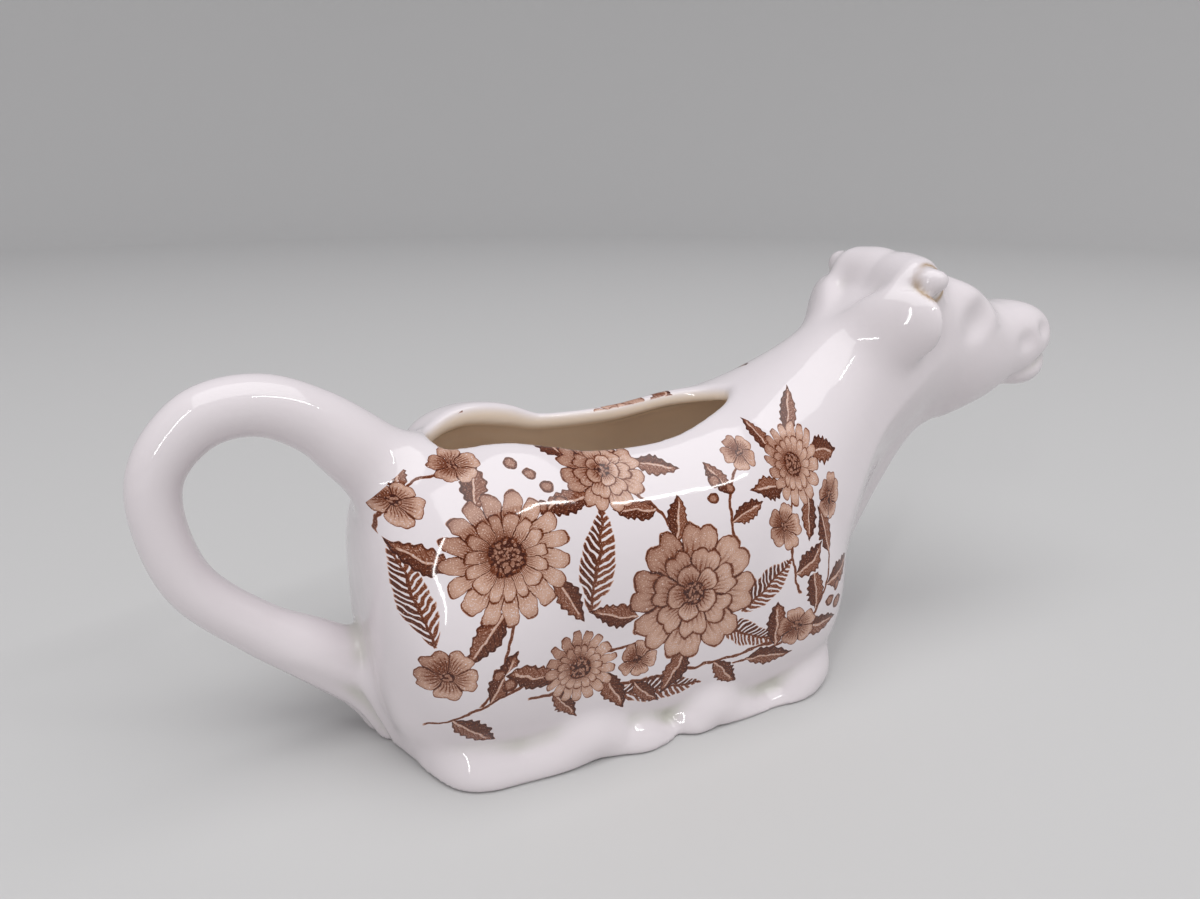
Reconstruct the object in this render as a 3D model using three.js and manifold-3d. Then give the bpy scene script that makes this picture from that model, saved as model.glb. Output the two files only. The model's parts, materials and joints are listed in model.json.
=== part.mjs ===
// A milk jug in the form of a lying cow, in glazed earthenware. The milk goes in through the opening in
// the back and pours out of the mouth, and the looped tail is the handle. The potter casts the body, the
// head, the tail, the ears, the horns and the legs apart, and lutes them together with slip.
// Millimetres. +X runs to the muzzle, +Y to the cow's left side, +Z up. The origin is on the table, under
// the middle of the body.

import * as THREE from 'three';
import { mergeVertices } from 'three/addons/utils/BufferGeometryUtils.js';
import Module from 'manifold-3d';

// Body
const BODY_REAR = 42.8; // from the origin back to the rump
const BODY_WIDTH = 50;
const BODY_HEIGHT = 50; // level of the back, which its wave goes above and below
const BELLY_HEIGHT = 24; // where the flanks are widest
const BELLY_SINK = 3; // how far the round of the belly is cut off to stand flat
const RUMP_BLUNTNESS = 3.4; // 2 is an ellipsoid, more is blunter
const BACK_SQUARENESS = 2.4; // the same for the upper half of a cross-section
const BASE_SQUARENESS = 3.6; // and for the lower half
const WALL = 2.8;
const FLOOR = 4;
const LUTE_GAP = 0.3; // slip joint between two pieces

// Filling opening in the back
const OPENING_REAR = 29.5; // from the origin back to its rear end
const OPENING_FRONT = 25.5; // from the origin forward to its front end, at the withers
const OPENING_WIDTH = 22;
const RIM_SWELL = 3.4; // crest of the rim over the level of the back, near the rear end
const RIM_DIP = 1.8; // hollow of the rim under that level, at its middle
const WITHERS_RISE = 3; // front end of the rim over that level

// Shoulders and neck, from the withers and the brisket to the poll and the throat
const SHOULDER_WIDTH = 46;
const BRISKET_REACH = 37; // from the origin forward to the front of the base
const DEWLAP_REACH = 47.5; // from the origin forward to the dewlap over the knees
const DEWLAP_HEIGHT = 9; // of that point
const POLL_REACH = 61; // from the origin forward to the poll
const POLL_RISE = 24.6; // poll above the level of the back
const NECK_SAG = 4.4; // hollow of the line from the withers to the poll
const NECK_WIDTH = 27; // at the collar, where the head is luted on
const THROAT_REACH = 70; // from the origin forward to the throat
const THROAT_HEIGHT = 40;

// Head, from the poll to the nose
const HEAD_LENGTH = 41.5;
const HEAD_WIDTH = 23; // across the brows
const BROW_DROP = 10.6; // brow below the poll
const MUZZLE_WIDTH = 15.5;
const MUZZLE_HEIGHT = 16.5;
const CHIN_HEIGHT = 46.5; // above the table
const MOUTH_WIDTH = 8.8; // pouring hole between the nose and the lower lip
const MOUTH_HEIGHT = 6.2;

// Horns and ears
const HORN_SPREAD = 29.6; // tip to tip
const HORN_DIAMETER = 5.2;
const EAR_SPREAD = 36.4; // outer edge to outer edge
const EAR_LENGTH = 14;
const EAR_HEIGHT = 13;
const EAR_THICKNESS = 5.6;
const EAR_HOLLOW = 1.6; // depth of the cup in its front
const EAR_TURN = 30; // degrees that the ear is swept back
const EAR_SETBACK = 6; // middle of the ear behind the poll
const EAR_DROP = 4.2; // and below the horn

// Tail, looped into the handle
const HANDLE_REACH = 30.6; // from the rump back to the outside of the loop
const HANDLE_RISE = 12; // top of the loop above the level of the back
const HANDLE_DIAMETER = 7.4;
const HANDLE_ROOT_DIAMETER = 13.5;
const TAIL_FOOT_HEIGHT = 17; // where the lower end of the loop comes back to the rump
const TUFT_DIAMETER = 11;

// Folded legs
const LEG_HEIGHT = 6.8;
const LEG_STANDOUT = 3.1; // legs beyond the foot of the flank
const HOCK_DIAMETER = 12;
const HOOF_DIAMETER = 9;
const LEG_NOTCH = 0.6; // gap between the hind hoof and the fore hoof
const LEG_NOTCH_X = 1; // where that gap is

// Fineness of the facets
const RUMP_STATIONS = 7; // from the rump to the middle of the body
const STATION_STEPS = 2; // rings to each station of the body and the head
const SECTION_SIDES = 28;
const TUBE_SIDES = 12;
const TUBE_STEPS = 4; // to each stop of a tube

const wasm = await Module();
wasm.setup();

// A closed geometry as a solid that can be joined and cut.
function solidOf(geometry) {
  geometry.deleteAttribute('normal');
  geometry.deleteAttribute('uv');
  const merged = mergeVertices(geometry, 1e-4);
  const vertProperties = new Float32Array(merged.attributes.position.array);
  const triVerts = new Uint32Array(merged.index.array);
  return new wasm.Manifold(new wasm.Mesh({ numProp: 3, vertProperties, triVerts }));
}

// A solid back to a geometry.
function geometryOf(solid) {
  const mesh = solid.getMesh();
  const geometry = new THREE.BufferGeometry();
  geometry.setAttribute('position', new THREE.BufferAttribute(new Float32Array(mesh.vertProperties), 3));
  geometry.setIndex(new THREE.BufferAttribute(new Uint32Array(mesh.triVerts), 1));
  geometry.computeVertexNormals();
  return geometry;
}

// A skin over a row of rings with as many points each, closed at both ends by a fan.
function loft(rings) {
  const sides = rings[0].length;
  const positions = rings.flat().flatMap((point) => [point.x, point.y, point.z]);
  const indices = [];
  for (let ring = 0; ring < rings.length - 1; ring += 1) {
    for (let side = 0; side < sides; side += 1) {
      const a = ring * sides + side;
      const b = ring * sides + (side + 1) % sides;
      indices.push(a, b, a + sides, b, b + sides, a + sides);
    }
  }
  [0, rings.length - 1].forEach((ring) => {
    const centre = new THREE.Vector3();
    rings[ring].forEach((point) => centre.addScaledVector(point, 1 / sides));
    const middle = positions.length / 3;
    positions.push(centre.x, centre.y, centre.z);
    for (let side = 0; side < sides; side += 1) {
      const a = ring * sides + side;
      const b = ring * sides + (side + 1) % sides;
      indices.push(...(ring === 0 ? [middle, b, a] : [middle, a, b]));
    }
  });
  const geometry = new THREE.BufferGeometry();
  geometry.setAttribute('position', new THREE.Float32BufferAttribute(positions, 3));
  geometry.setIndex(indices);
  const solid = solidOf(geometry);
  return solid.volume() > 0 ? solid : solidOf(flipped(geometry));
}

function flipped(geometry) {
  const index = geometry.index.array;
  for (let corner = 0; corner < index.length; corner += 3) {
    [index[corner], index[corner + 1]] = [index[corner + 1], index[corner]];
  }
  return geometry;
}

// Cosine with its sign kept and its size raised to a power, for squarish rounds.
function roundPower(value, squareness) {
  return Math.sign(value) * Math.abs(value) ** (2 / squareness);
}

// The profile of the back along the body: the rump, the swell, the dip of the rim and the withers.
const backProfile = new THREE.SplineCurve([
  new THREE.Vector2(-BODY_REAR, BODY_HEIGHT - RIM_DIP),
  new THREE.Vector2(-OPENING_REAR, BODY_HEIGHT + RIM_SWELL * 0.5),
  new THREE.Vector2(-OPENING_REAR * 0.66, BODY_HEIGHT + RIM_SWELL),
  new THREE.Vector2(0, BODY_HEIGHT - RIM_DIP),
  new THREE.Vector2(OPENING_FRONT, BODY_HEIGHT + WITHERS_RISE),
]);
const backPoints = backProfile.getPoints(120);

function backHeight(x) {
  const after = Math.max(1, backPoints.findIndex((point) => point.x >= x));
  const [low, high] = [backPoints[after - 1], backPoints[after]];
  return low.y + (high.y - low.y) * THREE.MathUtils.clamp((x - low.x) / (high.x - low.x), 0, 1);
}

// Everything below a level, for cutting feet and floors flat.
function below(level) {
  const size = 8 * BODY_REAR;
  const block = new THREE.BoxGeometry(size, size, size);
  block.translate(0, 0, level - size / 2);
  return solidOf(block);
}

// A run of oval sections between a top line and a bottom line in the middle plane of the cow. Each station
// has a top [x, z], a bottom [x, z], a half width, and a squareness for its upper and its lower half.
function profileLoft(stations, inset) {
  const line = (key, value) => new THREE.CatmullRomCurve3(
    stations.map((station) => new THREE.Vector3(station[key][0], station[value], station[key][1])),
  );
  const topLine = line('top', 'half');
  const bottomLine = line('bottom', 'lower');
  const squareLine = line('top', 'upper');
  const ringCount = (stations.length - 1) * STATION_STEPS;
  const rings = [];
  for (let ring = 0; ring <= ringCount; ring += 1) {
    const along = ring / ringCount;
    const top = topLine.getPoint(along);
    const bottom = bottomLine.getPoint(along);
    const half = Math.max(top.y - inset, LUTE_GAP);
    const squareness = { upper: squareLine.getPoint(along).y, lower: bottom.y };
    top.y = 0;
    bottom.y = 0;
    const centre = top.clone().add(bottom).multiplyScalar(0.5);
    const upright = top.clone().sub(centre);
    upright.setLength(Math.max(upright.length() - inset, LUTE_GAP));
    const points = [];
    for (let side = 0; side < SECTION_SIDES; side += 1) {
      const angle = (2 * Math.PI * (side + 0.5)) / SECTION_SIDES;
      const power = Math.sin(angle) > 0 ? squareness.upper : squareness.lower;
      const point = centre.clone().addScaledVector(upright, roundPower(Math.sin(angle), power));
      point.y = half * roundPower(Math.cos(angle), power);
      points.push(point);
    }
    rings.push(points);
  }
  return loft(rings);
}

// A round tube along a smooth line, with a radius at each point and round ends.
function limb(stops) {
  const line = new THREE.CatmullRomCurve3(stops.map(({ at }) => new THREE.Vector3(...at)));
  const radii = new THREE.CatmullRomCurve3(stops.map(({ radius }) => new THREE.Vector3(radius, 0, 0)));
  const steps = (stops.length - 1) * TUBE_STEPS;
  const rings = [];
  const ringAt = (along, share, push) => {
    const centre = line.getPoint(along);
    const forward = line.getTangent(along);
    const radius = radii.getPoint(along).x;
    const sideways = new THREE.Vector3(0, 1, 0).addScaledVector(forward, -forward.y).normalize();
    const upward = forward.clone().cross(sideways);
    centre.addScaledVector(forward, radius * push);
    const points = [];
    for (let side = 0; side < TUBE_SIDES; side += 1) {
      const angle = (2 * Math.PI * side) / TUBE_SIDES;
      const point = centre.clone();
      point.addScaledVector(sideways, radius * share * Math.cos(angle));
      point.addScaledVector(upward, radius * share * Math.sin(angle));
      points.push(point);
    }
    rings.push(points);
  };
  const rounding = [80, 55, 28].map((degrees) => THREE.MathUtils.degToRad(degrees));
  rounding.forEach((turn) => ringAt(0, Math.cos(turn), -Math.sin(turn)));
  for (let step = 0; step <= steps; step += 1) {
    ringAt(step / steps, 1, 0);
  }
  rounding.reverse().forEach((turn) => ringAt(1, Math.cos(turn), Math.sin(turn)));
  return loft(rings);
}

// Points of the neck's back line and chest line, at a share of the way from the body to the head.
const POLL_HEIGHT = BODY_HEIGHT + POLL_RISE;
const mix = THREE.MathUtils.lerp;

function napeAt(share) {
  const sag = 4 * NECK_SAG * share * (1 - share);
  return [mix(OPENING_FRONT, POLL_REACH, share), mix(BODY_HEIGHT + WITHERS_RISE, POLL_HEIGHT, share) - sag];
}

function chestAt(share) {
  return [mix(DEWLAP_REACH, THROAT_REACH, share), mix(DEWLAP_HEIGHT, THROAT_HEIGHT, share)];
}

// Stations from the rump to the middle of the body, round at the rump. The inset is that of a space inside
// the wall, which ends short of the rump.
function rumpStations(inset) {
  const stations = [];
  for (let step = 0; step < RUMP_STATIONS; step += 1) {
    const along = Math.cos((Math.PI * (step + 0.2)) / 2 / RUMP_STATIONS);
    const fullness = (1 - along ** RUMP_BLUNTNESS) ** (1 / RUMP_BLUNTNESS);
    const x = -(BODY_REAR - inset) * along;
    stations.push({
      top: [x, mix(BELLY_HEIGHT, backHeight(x), fullness)],
      bottom: [x, mix(BELLY_HEIGHT, -BELLY_SINK, fullness)],
      half: (BODY_WIDTH / 2) * fullness,
      upper: BACK_SQUARENESS,
      lower: BASE_SQUARENESS,
    });
  }
  return stations;
}

// Stations along the flanks, over the shoulders and up the neck into the skull. They lean forward more and
// more, and their lower ends sharpen into the keel of the dewlap.
const flank = { half: BODY_WIDTH / 2, upper: BACK_SQUARENESS, lower: BASE_SQUARENESS };
const scruff = NECK_WIDTH / 2;
const foreStations = [0.3, 0.68].map((share) => ({
  top: [OPENING_FRONT * share, backHeight(OPENING_FRONT * share)],
  bottom: [BRISKET_REACH * share * 0.85, -BELLY_SINK],
  ...flank,
}));
const withers = {
  top: napeAt(0),
  bottom: [BRISKET_REACH, -BELLY_SINK / 2],
  half: SHOULDER_WIDTH / 2,
  upper: BACK_SQUARENESS,
  lower: 2.6,
};
const shoulder = {
  top: napeAt(0.26),
  bottom: chestAt(0),
  half: mix(SHOULDER_WIDTH / 2, scruff, 0.42),
  upper: 2.3,
  lower: 2.1,
};
const collar = { top: napeAt(0.52), bottom: chestAt(0.58), half: scruff, upper: 2.2, lower: 1.7 };
const neckStations = [
  collar,
  { top: napeAt(0.8), bottom: chestAt(0.95), half: scruff * 0.92, upper: 2.6, lower: 1.9 },
  { top: napeAt(0.98), bottom: chestAt(1.1), half: scruff * 0.8, upper: 2.6, lower: 2 },
];

function bodyStations(inset) {
  return [...rumpStations(inset), ...foreStations, withers, shoulder, ...neckStations];
}

// Head stations, from inside the neck to the nose tip: the crown, the brow, the bridge and the nose along
// the top, the throat, the jaw and the lip along the bottom. A crown's drop is a share of the brow's, a
// jaw's lift goes from the throat to the chin, and a nose's drop is a share of the muzzle's height.
const NOSE_HEIGHT = CHIN_HEIGHT + MUZZLE_HEIGHT;
const brow = HEAD_WIDTH / 2;
const muzzle = MUZZLE_WIDTH / 2;

function crownAt(share, drop) {
  return [POLL_REACH + HEAD_LENGTH * share, POLL_HEIGHT - BROW_DROP * drop];
}

function noseAt(share, drop) {
  return [POLL_REACH + HEAD_LENGTH * share, NOSE_HEIGHT - MUZZLE_HEIGHT * drop];
}

function jawAt(share, lift) {
  return [POLL_REACH + HEAD_LENGTH * share, mix(THROAT_HEIGHT, CHIN_HEIGHT, lift)];
}

const headStations = [
  { top: crownAt(-0.02, 0.38), bottom: jawAt(0.1, 0.6), half: brow * 0.6, upper: 2, lower: 2 },
  { top: crownAt(0.1, 0.08), bottom: jawAt(0.26, 0), half: brow * 0.87, upper: 2.2, lower: 2 },
  { top: crownAt(0.27, 0.34), bottom: jawAt(0.38, 0.04), half: brow * 0.98, upper: 2.2, lower: 2 },
  { top: crownAt(0.44, 0.72), bottom: jawAt(0.5, 0.14), half: brow, upper: 2.3, lower: 2 },
  { top: crownAt(0.58, 1), bottom: jawAt(0.62, 0.4), half: brow * 0.86, upper: 2.2, lower: 2.1 },
  { top: noseAt(0.7, -0.02), bottom: jawAt(0.73, 0.85), half: muzzle, upper: 2.2, lower: 2.2 },
  { top: noseAt(0.82, 0), bottom: jawAt(0.83, 1), half: muzzle, upper: 2.4, lower: 2.3 },
  { top: noseAt(0.92, 0.05), bottom: jawAt(0.92, 1), half: muzzle, upper: 2.4, lower: 2.3 },
  { top: noseAt(0.985, 0.22), bottom: noseAt(0.97, 0.95), half: muzzle * 0.8, upper: 2.2, lower: 2.2 },
  { top: noseAt(1, 0.37), bottom: noseAt(0.995, 0.76), half: muzzle * 0.35, upper: 2, lower: 2 },
];

// The half of space on the head's side of the collar, set off by half a slip joint.
function headSide(offset) {
  const size = 8 * BODY_REAR;
  const [dx, dz] = [collar.top[0] - collar.bottom[0], collar.top[1] - collar.bottom[1]];
  const block = new THREE.BoxGeometry(size, size, size);
  block.translate(size / 2 + offset, 0, 0);
  block.rotateY(Math.atan2(dx, dz));
  block.translate(collar.bottom[0], 0, collar.bottom[1]);
  return solidOf(block);
}

// The space of the filling opening: an oval with a blunt rear end and a pointed front end.
function openingSpace() {
  const half = OPENING_WIDTH / 2;
  const outline = new THREE.Shape();
  outline.moveTo(-OPENING_REAR, 0);
  outline.bezierCurveTo(-OPENING_REAR, half, -OPENING_REAR / 2, half, 0, half);
  outline.bezierCurveTo(OPENING_FRONT * 0.5, half, OPENING_FRONT * 0.9, half * 0.55, OPENING_FRONT, 0);
  outline.bezierCurveTo(OPENING_FRONT * 0.9, -half * 0.55, OPENING_FRONT * 0.5, -half, 0, -half);
  outline.bezierCurveTo(-OPENING_REAR / 2, -half, -OPENING_REAR, -half, -OPENING_REAR, 0);
  const depth = BODY_HEIGHT;
  const prism = new THREE.ExtrudeGeometry(outline, { depth, bevelEnabled: false, curveSegments: 10 });
  prism.translate(0, 0, BELLY_HEIGHT);
  return solidOf(prism);
}

// The pouring hole, a short oval tube through the front of the muzzle.
function mouthSpace() {
  const hole = new THREE.CylinderGeometry(MOUTH_HEIGHT / 2, MOUTH_HEIGHT / 2, HEAD_LENGTH / 2, 20);
  hole.rotateZ(Math.PI / 2);
  hole.scale(1, MOUTH_WIDTH / MOUTH_HEIGHT, 1);
  hole.translate(POLL_REACH + HEAD_LENGTH, 0, CHIN_HEIGHT + MUZZLE_HEIGHT * 0.38);
  return solidOf(hole);
}

const bodyForm = profileLoft(bodyStations(0), 0).subtract(below(0));
const headForm = profileLoft(headStations, 0);
const cavity = profileLoft(bodyStations(WALL), WALL).subtract(below(FLOOR))
  .add(profileLoft(headStations.slice(0, -2), WALL))
  .add(mouthSpace());
const shell = bodyForm.add(headForm).subtract(cavity);

const bodyShell = shell.subtract(headSide(-LUTE_GAP / 2)).subtract(openingSpace());
const headShell = shell.intersect(headSide(LUTE_GAP / 2));

// What the luted pieces sit against, grown by the slip joint.
const bodySeat = profileLoft(bodyStations(-LUTE_GAP), -LUTE_GAP);
const headSeat = bodySeat.add(profileLoft(headStations, -LUTE_GAP));

// The tail leaves the top of the rump, loops back and comes down to its tuft.
function tailHandle() {
  const rump = -BODY_REAR;
  const back = rump - HANDLE_REACH + HANDLE_DIAMETER / 2;
  const top = BODY_HEIGHT + HANDLE_RISE - HANDLE_DIAMETER / 2;
  const finger = HANDLE_DIAMETER / 2;
  const root = HANDLE_ROOT_DIAMETER / 2;
  const tuft = TUFT_DIAMETER / 2;
  const middle = (rump + back) / 2;
  const foot = TAIL_FOOT_HEIGHT;
  return limb([
    { at: [rump + root * 2, 0, BODY_HEIGHT - root], radius: root },
    { at: [rump + root * 0.6, 0, BODY_HEIGHT - root * 0.2], radius: root * 0.95 },
    { at: [middle + finger * 0.6, 0, top - finger * 0.35], radius: finger * 1.25 },
    { at: [back + finger * 1.1, 0, top - finger * 1.1], radius: finger * 1.15 },
    { at: [back, 0, (top + foot) / 2 + finger], radius: finger },
    { at: [back + finger * 0.5, 0, (top + foot) / 2 - finger], radius: finger },
    { at: [middle - finger * 0.9, 0, foot + finger * 1.5], radius: finger * 1.1 },
    { at: [rump - finger * 1.5, 0, foot - finger * 0.6], radius: finger * 1.5 },
    { at: [rump + tuft * 0.5, 0, foot / 2], radius: tuft },
    { at: [rump + tuft * 1.6, 0, 0], radius: tuft },
  ]).subtract(bodySeat).subtract(below(0));
}

// Half the width of the body at half the height of the legs, which they stand out from.
const footDepth = 1 - (2 * BELLY_SINK + LEG_HEIGHT) / (BODY_HEIGHT + BELLY_SINK);
const flankFoot = (BODY_WIDTH / 2) * (1 - footDepth ** BASE_SQUARENESS) ** (1 / BASE_SQUARENESS);

// A folded hind leg: the hock at the rear corner, the shank along the base and the hoof at the notch.
function hindLeg(side) {
  const edge = flankFoot + LEG_STANDOUT;
  const hock = HOCK_DIAMETER / 2;
  const hoof = HOOF_DIAMETER / 2;
  const shank = LEG_HEIGHT * 0.78;
  const toe = LEG_NOTCH_X - LEG_NOTCH / 2 - hoof;
  const heel = -BODY_REAR + hock * 2;
  return limb([
    { at: [heel, side * (edge - hock * 1.9), LEG_HEIGHT - hock], radius: hock },
    { at: [heel + hock * 0.8, side * (edge - hock), LEG_HEIGHT - hock], radius: hock },
    { at: [(heel + toe) / 2, side * (edge - shank * 0.97), LEG_HEIGHT - shank], radius: shank },
    { at: [toe - hoof * 2, side * (edge - shank * 0.85), LEG_HEIGHT * 0.9 - shank], radius: shank * 0.95 },
    { at: [toe, side * (edge - hoof * 0.95), LEG_HEIGHT * 0.8 - hoof], radius: hoof },
  ]).subtract(bodySeat).subtract(below(0));
}

// A folded foreleg: the hoof at the notch, the shank along the base and the knee under the chest.
function foreleg(side) {
  const edge = flankFoot + LEG_STANDOUT;
  const hoof = HOOF_DIAMETER / 2;
  const shank = LEG_HEIGHT * 0.7;
  const toe = LEG_NOTCH_X + LEG_NOTCH / 2 + hoof;
  const knee = BRISKET_REACH - shank * 0.8;
  return limb([
    { at: [toe, side * (edge - hoof * 0.95), LEG_HEIGHT * 0.8 - hoof], radius: hoof },
    { at: [toe + hoof * 1.8, side * (edge - shank), LEG_HEIGHT * 0.8 - shank], radius: shank },
    { at: [(toe + knee) / 2 + hoof, side * (edge - shank), LEG_HEIGHT * 0.6 - shank], radius: shank * 0.95 },
    { at: [knee, side * (edge - shank * 1.4), LEG_HEIGHT * 0.95 - shank], radius: shank },
    { at: [knee + shank * 0.3, side * (edge - shank * 2.4), LEG_HEIGHT * 0.8 - shank], radius: shank * 0.9 },
  ]).subtract(bodySeat).subtract(below(0));
}

// A short horn that stands out sideways from the crown, with a round tip.
function horn(side) {
  const radius = HORN_DIAMETER / 2;
  const tip = HORN_SPREAD / 2 - radius * 0.85;
  const root = HEAD_WIDTH * 0.22;
  const level = POLL_HEIGHT - radius;
  return limb([
    { at: [POLL_REACH + radius, side * root, level - radius * 0.8], radius },
    { at: [POLL_REACH + radius * 0.4, side * (root + tip) / 2, level], radius: radius * 1.05 },
    { at: [POLL_REACH - radius * 0.3, side * tip, level], radius: radius * 0.85 },
  ]).subtract(headSeat);
}

// A drooping ear below and behind the horn: a flat lobe, cupped in front.
function ear(side) {
  const lobe = new THREE.SphereGeometry(0.5, 22, 14);
  lobe.scale(EAR_THICKNESS, EAR_LENGTH, EAR_HEIGHT);
  const cup = new THREE.SphereGeometry(0.5, 18, 12);
  cup.scale(EAR_THICKNESS * 0.8, EAR_LENGTH * 0.75, EAR_HEIGHT * 0.75);
  cup.translate(EAR_THICKNESS * 0.9 - EAR_HOLLOW, side * EAR_LENGTH * 0.04, 0);
  const turn = new THREE.Matrix4().makeRotationZ(-side * THREE.MathUtils.degToRad(EAR_TURN));
  const place = new THREE.Matrix4().makeTranslation(
    POLL_REACH - EAR_SETBACK,
    side * (EAR_SPREAD / 2 - EAR_LENGTH * 0.43),
    POLL_HEIGHT - HORN_DIAMETER - EAR_DROP,
  );
  [lobe, cup].forEach((geometry) => geometry.applyMatrix4(turn).applyMatrix4(place));
  return solidOf(lobe).subtract(solidOf(cup)).subtract(headSeat);
}

// Every piece has the same clear glaze over the white body.
const jug = new THREE.Group();

function addPiece(name, solid) {
  const glaze = new THREE.MeshStandardMaterial({ color: 0xf2ece8, roughness: 0.12, metalness: 0 });
  const mesh = new THREE.Mesh(geometryOf(solid), glaze);
  mesh.name = name;
  jug.add(mesh);
}

addPiece('body_shell', bodyShell);
addPiece('head_shell', headShell);
addPiece('tail_handle', tailHandle());
[['right', -1], ['left', 1]].forEach(([word, side]) => {
  addPiece(`${word}_ear`, ear(side));
  addPiece(`${word}_horn`, horn(side));
  addPiece(`${word}_foreleg`, foreleg(side));
  addPiece(`${word}_hind_leg`, hindLeg(side));
});

export default jug;
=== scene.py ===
# %% [markdown]
# # A milk jug in the form of a lying cow
#
# The real jug is white earthenware under a clear glaze. The potter casts the body, the head, the tail, the
# ears, the horns and the legs, sticks them together with slip and wipes every joint smooth, so under the
# glaze they run into each other like one soft skin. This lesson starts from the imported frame, which gives
# the place and the size of each piece, and sculpts that skin over it.

# %% Frame and size
import json
from itertools import product
from math import atan2, cos, hypot, pi, radians, sin

import bmesh
import bpy
import numpy as np
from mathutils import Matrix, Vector

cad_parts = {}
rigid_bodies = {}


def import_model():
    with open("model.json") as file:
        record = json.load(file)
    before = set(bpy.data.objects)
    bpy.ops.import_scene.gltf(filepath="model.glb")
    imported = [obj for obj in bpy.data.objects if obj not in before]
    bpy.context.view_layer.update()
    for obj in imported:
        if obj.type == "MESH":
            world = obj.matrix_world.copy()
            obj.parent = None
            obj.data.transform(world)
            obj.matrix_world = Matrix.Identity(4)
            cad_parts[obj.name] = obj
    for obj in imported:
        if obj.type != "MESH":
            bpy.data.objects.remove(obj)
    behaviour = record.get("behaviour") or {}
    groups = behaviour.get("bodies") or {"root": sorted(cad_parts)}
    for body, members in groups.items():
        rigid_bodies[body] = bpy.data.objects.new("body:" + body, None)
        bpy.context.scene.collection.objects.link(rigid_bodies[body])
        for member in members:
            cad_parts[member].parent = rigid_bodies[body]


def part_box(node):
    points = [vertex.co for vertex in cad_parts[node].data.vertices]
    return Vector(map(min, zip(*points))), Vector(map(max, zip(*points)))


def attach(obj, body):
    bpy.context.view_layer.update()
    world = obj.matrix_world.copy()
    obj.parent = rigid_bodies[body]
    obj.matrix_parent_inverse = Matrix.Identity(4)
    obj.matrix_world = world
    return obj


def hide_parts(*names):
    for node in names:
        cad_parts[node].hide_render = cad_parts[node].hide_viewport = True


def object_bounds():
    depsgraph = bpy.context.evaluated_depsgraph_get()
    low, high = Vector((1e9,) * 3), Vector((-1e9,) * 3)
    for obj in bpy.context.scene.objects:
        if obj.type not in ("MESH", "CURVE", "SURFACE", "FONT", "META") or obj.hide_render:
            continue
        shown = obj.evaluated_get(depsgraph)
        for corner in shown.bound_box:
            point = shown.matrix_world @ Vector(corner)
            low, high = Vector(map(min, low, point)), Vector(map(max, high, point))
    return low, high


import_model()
cad_box = [list(corner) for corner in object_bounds()]
MM = 0.001
print("box of the frame, in metres:", cad_box)

# %% [markdown]
# ## Camera
#
# The photograph was taken from close by, a little above the jug and from behind its right side, so near
# things look larger. The eye point, the heading and the dip were worked out from the pairs of horns and
# ears and from the edge of the base. A lens is given in millimetres on a sensor 36 mm wide.

# %% Camera
PHOTO_WIDTH = 1200
FOCAL_PIXELS = 900
SENSOR = 36.0
EYE = (-0.06244, -0.13455, 0.09135)
HEADING = 24.956
DIP = 17.959

camera_data = bpy.data.cameras.new("camera")
camera_data.sensor_width = SENSOR
camera_data.lens = SENSOR * FOCAL_PIXELS / PHOTO_WIDTH
camera_data.clip_start = 0.01
camera = bpy.data.objects.new("camera", camera_data)
camera.location = EYE
camera.rotation_euler = (radians(90 - DIP), 0, radians(-HEADING))
bpy.context.scene.collection.objects.link(camera)
bpy.context.scene.camera = camera
print("lens:", camera_data.lens, "mm")

# %% [markdown]
# ## Clay on a grid
#
# Soft joints are hard to model face by face. A distance field makes them easy: on a fine grid of points,
# each form is the distance to its surface, below zero inside the clay. Two forms are joined by the smaller
# distance, and rounding that choice off gives the fillet that a wet thumb leaves. From here to the meshes,
# all sizes are in millimetres.

# %% Grid and fillets
STEP = 0.65
MARGIN = 4.0
FAR = 12.0

low_corner, high_corner = np.array(cad_box) / MM
AXES = [np.arange(a - MARGIN, b + MARGIN, STEP, dtype=np.float32) for a, b in zip(low_corner, high_corner)]
SHAPE = tuple(len(axis) for axis in AXES)
X, Y, Z = np.meshgrid(*AXES, indexing="ij", sparse=True)


def join(a, b, soft):
    """Two forms joined, with a fillet of about that size."""
    near = np.maximum(soft - np.abs(a - b), 0) / soft
    return np.minimum(a, b) - near * near * soft / 4


def carve(a, b, soft):
    """The form a with b taken out, and the edge rounded."""
    return -join(-a, b, soft)


def smooth_rows(rows, steps):
    """A smooth curve through all rows, in that many steps from row to row."""
    rows = np.array(rows, float)
    padded = np.vstack([2 * rows[0] - rows[1], rows, 2 * rows[-1] - rows[-2]])
    t = np.arange(steps)[:, None] / steps
    curve = []
    for a, b, c, d in zip(padded, padded[1:], padded[2:], padded[3:]):
        bend = (2 * a - 5 * b + 4 * c - d) * t**2 + (3 * b - a - 3 * c + d) * t**3
        curve.append(0.5 * (2 * b + (c - a) * t + bend))
    return np.vstack(curve + [rows[-1:]])


print("grid points:", SHAPE)

# %% [markdown]
# ## Ribs
#
# A cow can be built like a boat, over ribs. Each rib is an oval between a top point and a bottom point in
# the middle plane, with a half width and a squareness for its upper and its lower half. Along the body the
# ribs stand upright. From the shoulders they lean forward and shrink, which turns the trunk into the neck,
# and they go on over the crown, the brow and the bridge of the nose to the muzzle. The rump and the nose
# are closed by rounding the run off.

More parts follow.
